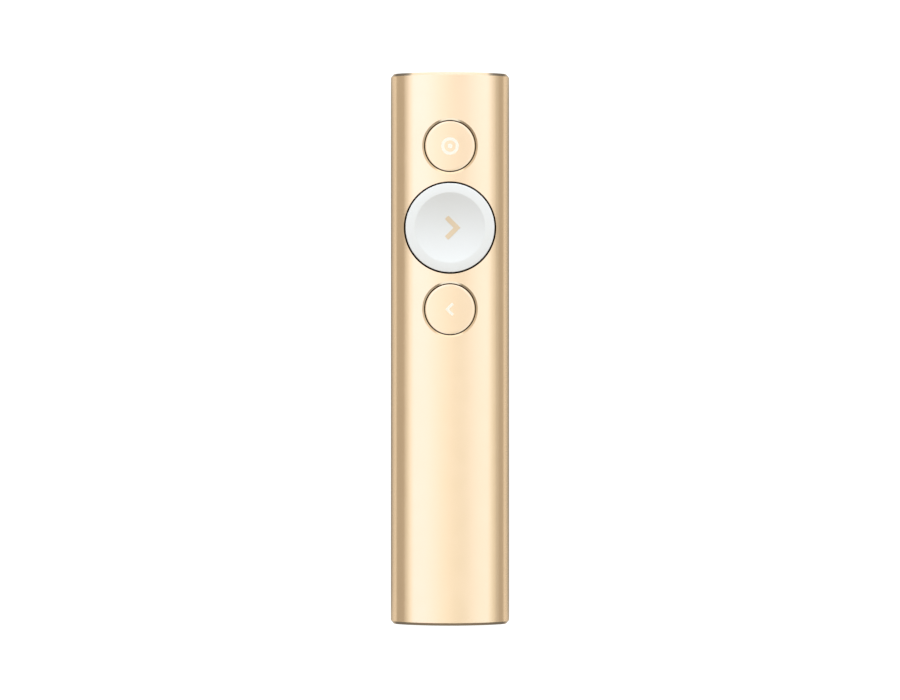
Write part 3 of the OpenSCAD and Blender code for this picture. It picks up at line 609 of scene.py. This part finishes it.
def make_large_cap():
    """Moulded white cap: a spherical dish inside a nearly flat, polished rim, a shade brighter as
    painted light.
    """
    place, radius, top = cap_place("next_button")
    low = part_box("next_button")[0].z
    shoulder_z = top - RIM_FALL - RIM_ROUNDING
    cap = start_point("next_cap", (0, 0, top - DISH_DEPTH))
    turn(0, top - DISH_DEPTH + DISH_SPHERE, -asin(DISH_RADIUS / DISH_SPHERE), DISH_STEPS)
    go(radius - RIM_ROUNDING - DISH_RADIUS, -RIM_FALL)
    turn(radius - RIM_ROUNDING, shoulder_z, pi / 2, 6)
    go(0, low - shoulder_z)
    go(-radius, 0)
    bpy.ops.mesh.select_all(action="SELECT")
    bpy.ops.mesh.spin(steps=LARGE_CAP_SIDES, angle=tau, center=(0, 0, 0), axis=(0, 0, 1),
                      dupli=False)
    merge_all()

    def on_crease(edge):
        return all(abs(hypot(*v.co.xy) - DISH_RADIUS) < TOUCH and v.co.z > low + 0.1 * MM
                   for v in edge.verts)

    bevel(cap, on_crease, DISH_CREASE, segments=3)
    bpy.ops.mesh.select_all(action="SELECT")
    bpy.ops.transform.translate(value=(place.x, place.y, 0))
    close_up(cap)
    smooth(cap)
    hand_over(cap, "next_key", white_abs, "next_button")
    # The rim gets the brighter copy of the ABS, which is painted light.
    cap.data.materials.append(painted_light_rim_abs)
    for face in cap.data.polygons:
        if (face.center.xy - place.xy).length > DISH_RADIUS and face.normal.z > 0.3:
            face.material_index = 1


# ---- signs ----

INK = 0.02 * MM             # ink stands this far above the cap


def lay_on(sign, height):
    """Lays a flat sign on a surface given by its height at a point, and gives it thickness."""
    for vertex in sign.data.vertices:
        vertex.co.z = height(vertex.co) + INK
    modify(sign, "SOLIDIFY", thickness=2 * INK, offset=-1)


def make_target_sign():
    """Ring with a dot in its middle on the pointer's cap."""
    place, _, top = cap_place("pointer_button")
    ring_radius, line, dot_radius = 1.72 * MM, 0.70 * MM, 0.56 * MM
    inner_radius = ring_radius - line / 2
    sign = start("pointer_sign", "circle", vertices=72, radius=ring_radius + line / 2,
                 fill_type="NGON", location=place)
    bpy.ops.mesh.inset(thickness=line, depth=0)
    bpy.ops.mesh.inset(thickness=inner_radius - dot_radius, depth=0)
    settle_in_edit(sign)
    pick(sign, lambda face: dot_radius < (face.calc_center_median() - place).xy.length
         < inner_radius)
    bpy.ops.mesh.delete(type="FACE")
    bpy.ops.object.mode_set(mode="OBJECT")
    lay_on(sign, lambda point: top - crown_sag(point.x, CAP_CROWN))
    smooth(sign, angle=25)
    hand_over(sign, "pointer_key", white_ink)


def make_arrow_sign(name, node, tip_x, half_height, stroke):
    """Arrow head with square-cut ends, pointing to the side of its cap that tip_x is on."""
    way = 1 if tip_x > 0 else -1
    arm = half_height * sqrt(2)
    sign = start(name, "plane", size=1)
    bpy.ops.transform.resize(value=(arm + stroke, stroke, 1))
    bpy.ops.transform.translate(value=(tip_x - way * (arm - stroke) / 2, -stroke / 2, 0))
    pick(sign, lambda vertex: way * (vertex.co.x - tip_x) < 0, "VERT")
    bpy.ops.mesh.bevel(offset=stroke / 9, segments=3, affect="VERTICES")
    bpy.ops.mesh.select_all(action="SELECT")
    bpy.ops.transform.rotate(value=way * pi / 4, orient_axis="Z",
                             center_override=(tip_x, 0, 0))
    # The lower half goes; cuts across the rest let the sign follow a curved cap.
    strips = 8
    for strip in range(strips):
        bpy.ops.mesh.select_all(action="SELECT")
        bpy.ops.mesh.bisect(plane_co=(0, half_height * strip / strips, 0),
                            plane_no=(0, 1, 0), clear_inner=strip == 0)
    bpy.ops.object.mode_set(mode="OBJECT")
    modify(sign, "MIRROR", use_axis=(False, True, False), merge_threshold=WELD)
    sign.location = (0, cap_place(node)[0].y, 0)
    settle(sign)
    return sign


def make_arrow_signs():
    place, _, top = cap_place("next_button")
    large = make_arrow_sign("next_sign", "next_button", tip_x=2.48 * MM,
                            half_height=2.88 * MM, stroke=1.17 * MM)
    lay_on(large, lambda point: dish_height(top, (point.xy - place.xy).length))
    hand_over(large, "next_key", stamped_foil)

    small_top = cap_place("back_button")[2]
    small = make_arrow_sign("back_sign", "back_button", tip_x=-1.09 * MM,
                            half_height=1.56 * MM, stroke=0.6 * MM)
    lay_on(small, lambda point: small_top - crown_sag(point.x, CAP_CROWN))
    hand_over(small, "back_key", white_ink)


# ---- nose plug and dock ----

NOSE_WALL = 1.2 * MM
NOSE_STRIPS = 16            # across the plug's face, so that it can be bowed
BEZEL_DEPTH = 2.2 * MM
BAY_WALL = 0.9 * MM
BAY_CLEARANCE = 0.2 * MM    # round the receiver
COLLAR = 1.6 * MM
CASE_CORNER = 1.4 * MM      # of the receiver's cross-section
GROOVE_DEPTH = 0.45 * MM    # grooves along the sides of the receiver
GROOVE_WIDTH = 1.4 * MM
GROOVE_ROUNDING = 0.12 * MM
MOULD_ROUNDING = 0.35 * MM  # round the ends of a moulded piece
MOULD_SEGMENTS = 4
BEZEL_ROUNDING = 0.25 * MM
MOUTH_ROUNDING = 0.3 * MM   # of the bay, at the tail
PORT_WIDTH = 8.94 * MM      # standard width of a Type-C receptacle
LAP = 0.01 * MM             # joined solids run into each other by this
PLUG_STRETCH = END_RECESS + 0.5 * MM        # of plug and dock, that is bowed with the end


def make_nose_cap():
    """Moulded plug, hollow behind, its face bowed like the end of the sleeve."""
    low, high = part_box("nose_cap")
    fit = WALL + SLIDE_FIT
    depth = high.y - low.y
    hollow = draw_section("hollow", fit + NOSE_WALL, low.y - depth)
    close_up(extrude_solid(hollow, 2 * depth - NOSE_WALL))
    plug = extrude_solid(draw_section("nose_plug", fit, low.y), depth)
    bevel_rim(plug, high.y, MOULD_ROUNDING, MOULD_SEGMENTS)
    for strip in range(1, NOSE_STRIPS):
        bpy.ops.mesh.select_all(action="SELECT")
        bpy.ops.mesh.bisect(plane_co=(WIDTH * (strip / NOSE_STRIPS - 0.5), 0, 0),
                            plane_no=(1, 0, 0))
    close_up(plug)
    shape_ends(plug, PLUG_STRETCH)
    cut(plug, hollow)
    smooth(plug)
    hand_over(plug, "housing", bronze_plastic, "nose_cap")


def make_dock():
    """Moulded tail piece: bezel, bay with rails for the receiver, and collars."""
    case_low, case_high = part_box("receiver_case")
    port_low, port_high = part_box("usb_c_shell")
    z = (case_low.z + case_high.z) / 2
    mouth_y, port_y, inner_y = case_low.y, port_low.y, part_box("receiver_dock")[1].y
    bay_width = case_high.x - case_low.x + 2 * BAY_CLEARANCE
    bay_height = case_high.z - case_low.z + 2 * BAY_CLEARANCE
    bay_corner = CASE_CORNER + BAY_CLEARANCE
    port_height = port_high.z - port_low.z + 2 * SLIDE_FIT
    port_width = PORT_WIDTH + 2 * SLIDE_FIT
    fit = WALL + SLIDE_FIT

    def bay(y):
        return drawn(draw_rounded, "bay", bay_width, bay_height, bay_corner, y, z)

    def port(y):
        return drawn(draw_rounded, "port", port_width, port_height, port_height / 2, y, z)

    def collar(opening, y0, y1):
        hole = opening(y0)
        return close_up(extrude_ring(draw_section("collar", fit, y0), hole, y1 - y0))

    def tube(opening, y0, y1):
        hole = opening(y0)
        wall = draw_rounded("wall", bay_width + 2 * BAY_WALL, bay_height + 2 * BAY_WALL,
                            bay_corner + BAY_WALL, y0, z)
        return close_up(extrude_ring(wall, hole, y1 - y0))

    axis = Vector((0, 0, z))
    hole = bay(mouth_y)
    dock = extrude_ring(draw_section("dock", fit, mouth_y), hole, BEZEL_DEPTH)
    bevel_rim(dock, mouth_y, BEZEL_ROUNDING, 3, axis, outside=True)
    bevel_rim(dock, mouth_y, MOUTH_ROUNDING, 3, axis, outside=False)
    close_up(dock)
    shape_ends(dock, PLUG_STRETCH)
    middle_y = (TAIL_Y + inner_y) / 2
    unite(dock, tube(bay, mouth_y + BEZEL_DEPTH - LAP, port_y))
    unite(dock, tube(port, port_y - LAP, inner_y))
    unite(dock, collar(bay, middle_y, middle_y + COLLAR))
    unite(dock, collar(port, inner_y - COLLAR / 2, inner_y))
    rail_x = bay_width / 2 - GROOVE_DEPTH / 2
    rail_half = GROOVE_WIDTH / 2 - BAY_CLEARANCE
    for side in (-1, 1):
        rail = start_block("rail", GROOVE_DEPTH + LAP, mouth_y + BEZEL_DEPTH, case_high.y,
                           z - rail_half, z + rail_half, side * rail_x)
        bevel(rail, lambda edge: all(side * v.co.x < rail_x for v in edge.verts),
              GROOVE_ROUNDING, segments=2)
        unite(dock, close_up(rail))
    smooth(dock)
    hand_over(dock, "housing", charcoal_plastic, "receiver_dock")


# ---- receiver ----

CASE_WALL = 0.9 * MM
PLUG_SHEET = 0.3 * MM
PLUG_CORNER = 0.6 * MM
NAIL_ROUNDING = 0.3 * MM
TIP_ROUNDING = 0.1 * MM     # of the folded sheet at the plug's tip
WINDOW_X = 2.6 * MM         # windows of the plug's shell, from its middle line
WINDOW_BACK = 6 * MM        # and from its tip
WINDOW_WIDTH = 2.5 * MM
WINDOW_LENGTH = 2.1 * MM
WINDOW_CORNER = 0.3 * MM
SEAM = 0.08 * MM
CONTACT_PLACES = (-3.5 * MM, -1.0 * MM, 1.0 * MM, 3.5 * MM)
CONTACT_WIDTH = 1.0 * MM
CONTACT_CORNER = 0.35 * MM
CONTACT_RIM = 0.06 * MM     # band of faces round its flat top


def is_upright(edge):
    """Whether an edge of a block runs up and down."""
    return abs(edge.verts[0].co.z - edge.verts[1].co.z) > TOUCH


def make_receiver_case():
    """Moulded shell with guide grooves, a fingernail slot and the mouth for its plug."""
    low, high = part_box("receiver_case")
    plug_low, plug_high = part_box("receiver_plug_shell")
    z = (low.z + high.z) / 2
    case = draw_rounded("receiver_shell", high.x - low.x, high.z - low.z, CASE_CORNER,
                        low.y, z)
    extrude_solid(case, high.y - low.y)
    for y in (low.y, high.y):
        bevel_rim(case, y, MOULD_ROUNDING, MOULD_SEGMENTS)
    close_up(case)
    inside_width = high.x - low.x - 2 * (CASE_WALL + GROOVE_DEPTH)
    cut(case, close_up(start_block("room", inside_width, low.y + 2 * CASE_WALL,
                                   high.y - CASE_WALL, low.z + CASE_WALL,
                                   high.z - CASE_WALL)))
    cut(case, close_up(start_block("mouth", plug_high.x - plug_low.x, plug_low.y - CASE_WALL,
                                   high.y + MM, plug_low.z, plug_high.z)))
    groove_start = low.y + BEZEL_DEPTH - BAY_CLEARANCE
    for side in (-1, 1):
        groove = start_block("groove", 2 * GROOVE_DEPTH, groove_start, high.y + MM,
                             z - GROOVE_WIDTH / 2, z + GROOVE_WIDTH / 2, side * high.x)
        bevel(groove, lambda edge: all(side * v.co.x < high.x for v in edge.verts),
              GROOVE_ROUNDING, segments=2)
        cut(case, close_up(groove))
    nail = start_block("nail_slot", high.x, low.y - CASE_WALL, low.y + CASE_WALL,
                       z - GROOVE_WIDTH / 2, z + GROOVE_WIDTH / 2)
    bevel(nail, lambda edge: all(v.co.y > low.y for v in edge.verts), NAIL_ROUNDING,
          segments=3)
    cut(case, close_up(nail))
    smooth(case)
    hand_over(case, "receiver", black_plastic, "receiver_case")


def make_plug_shell():
    """Folded sheet of the receiver's plug, with four windows and the seam underneath."""
    low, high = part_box("receiver_plug_shell")
    z = (low.z + high.z) / 2
    width, height = high.x - low.x, high.z - low.z
    inner = drawn(draw_rounded, "inner", width - 2 * PLUG_SHEET, height - 2 * PLUG_SHEET,
                  PLUG_CORNER - PLUG_SHEET, low.y, z)
    shell = extrude_ring(draw_rounded("plug_shell", width, height, PLUG_CORNER, low.y, z),
                         inner, high.y - low.y)
    bevel_rim(shell, high.y, TIP_ROUNDING, 3)
    close_up(shell)
    window_y = high.y - WINDOW_BACK
    for side in (-1, 1):
        window = start_block("window", WINDOW_WIDTH, window_y - WINDOW_LENGTH / 2,
                             window_y + WINDOW_LENGTH / 2, z - height, z + height,
                             side * WINDOW_X)
        bevel(window, is_upright, WINDOW_CORNER, segments=4)
        cut(shell, close_up(window))
    cut(shell, close_up(start_block("seam", SEAM, low.y - MM, high.y + MM, low.z - MM,
                                    low.z + PLUG_SHEET / 2)))
    smooth(shell)
    hand_over(shell, "receiver", tinned_steel, "receiver_plug_shell")


def make_contact_carrier():
    """The moulded tongue inside the plug and its four gold contacts."""
    low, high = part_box("receiver_tongue")
    tongue = start_block("plug_tongue", high.x - low.x, low.y, high.y, low.z, high.z)
    bevel(tongue, lambda edge: all(v.co.y > high.y - TOUCH for v in edge.verts),
          MOULD_ROUNDING, MOULD_SEGMENTS)
    smooth(close_up(tongue))
    hand_over(tongue, "receiver", carrier_plastic, "receiver_tongue")

    low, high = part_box("receiver_contacts")
    contacts = None
    for x in CONTACT_PLACES:
        strip = start_block("plug_contacts", CONTACT_WIDTH, low.y, high.y, low.z, high.z, x)
        bevel(strip, is_upright, CONTACT_CORNER, segments=4)
        pick(strip, lambda face: face.normal.z > 0.9)
        bpy.ops.mesh.inset(thickness=CONTACT_RIM, depth=0)
        close_up(strip)
        contacts = join(strip, contacts) if contacts else strip
    smooth(contacts)
    hand_over(contacts, "receiver", gold_plate, "receiver_contacts")


# ---- floor ----

FLOOR_SIZE = 14             # metres
# Brightness of the floor's painted reflection, a glow seen only in reflections. Beside the body
# it is even, up to the ends, and reaches past them the more the farther out it is.
BESIDE_LIGHT = 0.72
BESIDE_FROM, BESIDE_TO = NOSE_Y - 5 * MM, NOSE_Y + 2 * MM
BESIDE_SLANT = -0.35
# Ahead of the nose the painted reflection is a bright wedge of this half width, wider the farther
# ahead.
AHEAD_LIGHT = 1.0
AHEAD_FROM, AHEAD_TO = 7 * MM, 16 * MM
AHEAD_SLANT = -0.2
# Painted shadow: occlusion darkens the floor's painted reflection near the body.
SHADE_REACH = 50 * MM       # over which the body shades the floor
SHADE_POWER = 5.0


def calc(tree, operation, *values):
    """The result of a sum over numbers or sockets."""
    node = add(tree, "ShaderNodeMath", {"operation": operation}, dict(enumerate(values)))
    return node.outputs[0]


def fade(tree, value, start_at, end_at, full):
    """Full up to start_at, then smoothly down to nothing at end_at."""
    node = add(tree, "ShaderNodeMapRange", {"interpolation_type": "SMOOTHSTEP"}, {
        "Value": value, "From Min": start_at, "From Max": end_at,
        "To Min": full, "To Max": 0.0})
    return node.outputs["Result"]


def painted_floor_reflection(tree):
    """Painted reflection of the floor, darkened by painted shadow near the body: none under the
    body and past its corners and its tail.
    """
    place = add(tree, "ShaderNodeSeparateXYZ", None,
                {"Vector": add(tree, "ShaderNodeTexCoord").outputs["Object"]})
    across = calc(tree, "ABSOLUTE", place.outputs["X"])
    along = calc(tree, "ABSOLUTE", place.outputs["Y"])
    slanted = calc(tree, "MULTIPLY_ADD", across, BESIDE_SLANT, along)
    beside = fade(tree, slanted, BESIDE_FROM, BESIDE_TO, BESIDE_LIGHT)
    fan = calc(tree, "MULTIPLY_ADD", place.outputs["Y"], AHEAD_SLANT, across)
    wedge = fade(tree, fan, AHEAD_FROM + AHEAD_SLANT * NOSE_Y,
                 AHEAD_TO + AHEAD_SLANT * NOSE_Y, AHEAD_LIGHT)
    past_nose = calc(tree, "GREATER_THAN", place.outputs["Y"], NOSE_Y)
    ahead = calc(tree, "MULTIPLY", wedge, past_nose)
    # Painted shadow: the glow fades where the body hides the sky.
    open_sky = add(tree, "ShaderNodeAmbientOcclusion", {"samples": 8},
                   {"Distance": SHADE_REACH})
    shade = calc(tree, "POWER", open_sky.outputs["AO"], SHADE_POWER)
    return calc(tree, "MULTIPLY", calc(tree, "MAXIMUM", beside, ahead), shade)


def make_floor():
    """Matt white paper. Seen directly it is lifted to the white of a backdrop; in reflections it
    glows as a painted reflection.
    """
    bpy.ops.object.select_all(action="DESELECT")
    bpy.ops.mesh.primitive_plane_add(size=FLOOR_SIZE, location=(0, 0, 0))
    floor = bpy.context.object
    floor.name = "floor"
    paper = bpy.data.materials.new("white_paper")
    paper.use_nodes = True
    tree = paper.node_tree
    shader = tree.nodes["Principled BSDF"]
    shader.inputs["Base Color"].default_value = linear("#787878")
    shader.inputs["Roughness"].default_value = 1.0
    shader.inputs["Specular IOR Level"].default_value = 0.0
    path = add(tree, "ShaderNodeLightPath")
    mirrored = calc(tree, "MULTIPLY", path.outputs["Is Glossy Ray"], painted_floor_reflection(tree))
    seen = calc(tree, "MAXIMUM", path.outputs["Is Camera Ray"], mirrored)
    strength = calc(tree, "MAXIMUM", path.outputs["Is Transmission Ray"], seen)
    # The painted reflection is tinted warm; seen directly the floor is white.
    tint = add(tree, "ShaderNodeMix", {"data_type": "RGBA"}, {
        "Factor": path.outputs["Is Camera Ray"], "A": linear("#FFF6E4"),
        "B": linear("#FFFFFF")})
    tree.links.new(tint.outputs["Result"], shader.inputs["Emission Color"])
    tree.links.new(strength, shader.inputs["Emission Strength"])
    floor.data.materials.append(paper)


# ---- light and camera ----

# Level lamps over the body: name, x from and to, y from and to, height, radiance, colour.
# The cool colours are what the gold turns into cream and tan.
SOFTBOXES = (
    ("overhead", -0.62, 0.75, -1.05, 0.95, 1.02, 0.295, "#FDFFF4"),
    ("left_softbox", -0.48, 0.03, -1.05, 0.95, 1.01, 0.41, "#EFFFFC"),
    ("left_core", -0.32, -0.12, -1.05, 0.95, 1.00, 0.55, "#8AA0FF"),
    ("right_softbox", 0.12, 0.52, -1.05, 0.95, 1.01, 0.35, "#E8FFFB"),
    ("right_core", 0.16, 0.38, -1.05, 0.95, 1.00, 0.41, "#9EB8FF"),
    ("right_wing", 0.76, 1.40, -1.05, 0.95, 1.00, 0.15, "#E2F5FF"),
    ("nose_overhead", -0.55, 0.62, 0.08, 0.95, 0.99, 0.20, "#AFAFFF"),
)
# A low lamp beyond the nose: name, place, target, size, radiance, colour.
KEY = ("key", (0, 1.6, 0.35), (0, 0, 0), (1.7, 0.42), 13.0, "#DEF0FF")
# Cards that face the ends, given in the same way.
CARDS = (
    ("low_nose_card", (0, 1.5, 0.12), (0, 0, 0.02), (0.9, 0.7), 1.4, "#68BAFF"),
    ("low_tail_card", (0, -1.5, 0.12), (0, 0, 0.02), (0.9, 0.7), 0.3, "#FFF0D8"),
    ("nose_card", (0, 1.35, 0.9), (0, 0, 0), (1.2, 0.35), 0.55, "#E4F4FF"),
    ("tail_card", (0, -1.1, 0.8), (0, 0, 0), (0.7, 0.5), 1.1, "#E4F4FF"),
)
WARM_SKY = (1.0, 0.91, 0.75, 1)
SKY_LEVEL = 0.55
SKY_TILT = 0.40             # brighter towards the nose and dimmer towards the tail by this


def add_panel(name, place, target, size, radiance, hex_code):
    """A soft rectangular lamp at place that faces target, with an even radiance."""
    lamp = bpy.data.lights.new(name, "AREA")
    lamp.shape = "RECTANGLE"
    lamp.size, lamp.size_y = size
    lamp.energy = radiance * pi * size[0] * size[1]
    lamp.color = linear(hex_code)[:3]
    holder = bpy.data.objects.new(name, lamp)
    bpy.context.scene.collection.objects.link(holder)
    holder.location = place
    holder.rotation_euler = (Vector(target) - Vector(place)).to_track_quat("-Z", "Y").to_euler()
    holder.visible_camera = False
    return holder


def light_scene():
    """Two softboxes with brighter cores over the body, a low key and cards at both ends."""
    for name, x0, x1, y0, y1, height, radiance, colour in SOFTBOXES:
        x, y = (x0 + x1) / 2, (y0 + y1) / 2
        add_panel(name, (x, y, height), (x, y, 0), (x1 - x0, y1 - y0), radiance, colour)
    key = add_panel(*KEY)
    key.visible_glossy = False      # it shapes the white dish and leaves no glare on the metal
    for card in CARDS:
        add_panel(*card)
    world = bpy.data.worlds.new("studio")
    bpy.context.scene.world = world
    world.use_nodes = True
    tree = world.node_tree
    sky = add(tree, "ShaderNodeSeparateXYZ", None,
              {"Vector": add(tree, "ShaderNodeTexCoord").outputs["Generated"]})
    background = tree.nodes["Background"]
    background.inputs["Color"].default_value = WARM_SKY
    tree.links.new(calc(tree, "MULTIPLY_ADD", sky.outputs["Y"], SKY_TILT, SKY_LEVEL),
                   background.inputs["Strength"])


IMAGE_WIDTH = 900           # pixels, as the scale below
PIXELS_PER_METRE = 4206
CAMERA_HEIGHT = 2.0
SENSOR = 36.0               # mm
OBJECT_ABOVE_CENTRE = 1.1   # pixels


def add_camera():
    """Looks straight down, with the nose at the top of the image."""
    camera = bpy.data.cameras.new("camera")
    camera.sensor_width = SENSOR
    camera.lens = SENSOR * PIXELS_PER_METRE * (CAMERA_HEIGHT - HEIGHT / 2) / IMAGE_WIDTH
    camera.clip_end = 50
    holder = bpy.data.objects.new("camera", camera)
    bpy.context.scene.collection.objects.link(holder)
    holder.location = (0, -OBJECT_ABOVE_CENTRE / PIXELS_PER_METRE, CAMERA_HEIGHT)
    bpy.context.scene.camera = holder


# ---- all together ----

add_camera()
finish_frame()
make_sleeve()
make_small_cap("pointer_cap", "pointer_button", "pointer_key")
make_small_cap("back_cap", "back_button", "back_key")
make_large_cap()
make_target_sign()
make_arrow_signs()
make_nose_cap()
make_dock()
make_receiver_case()
make_plug_shell()
make_contact_carrier()
make_floor()
light_scene()

bpy.context.scene.view_settings.view_transform = "Standard"
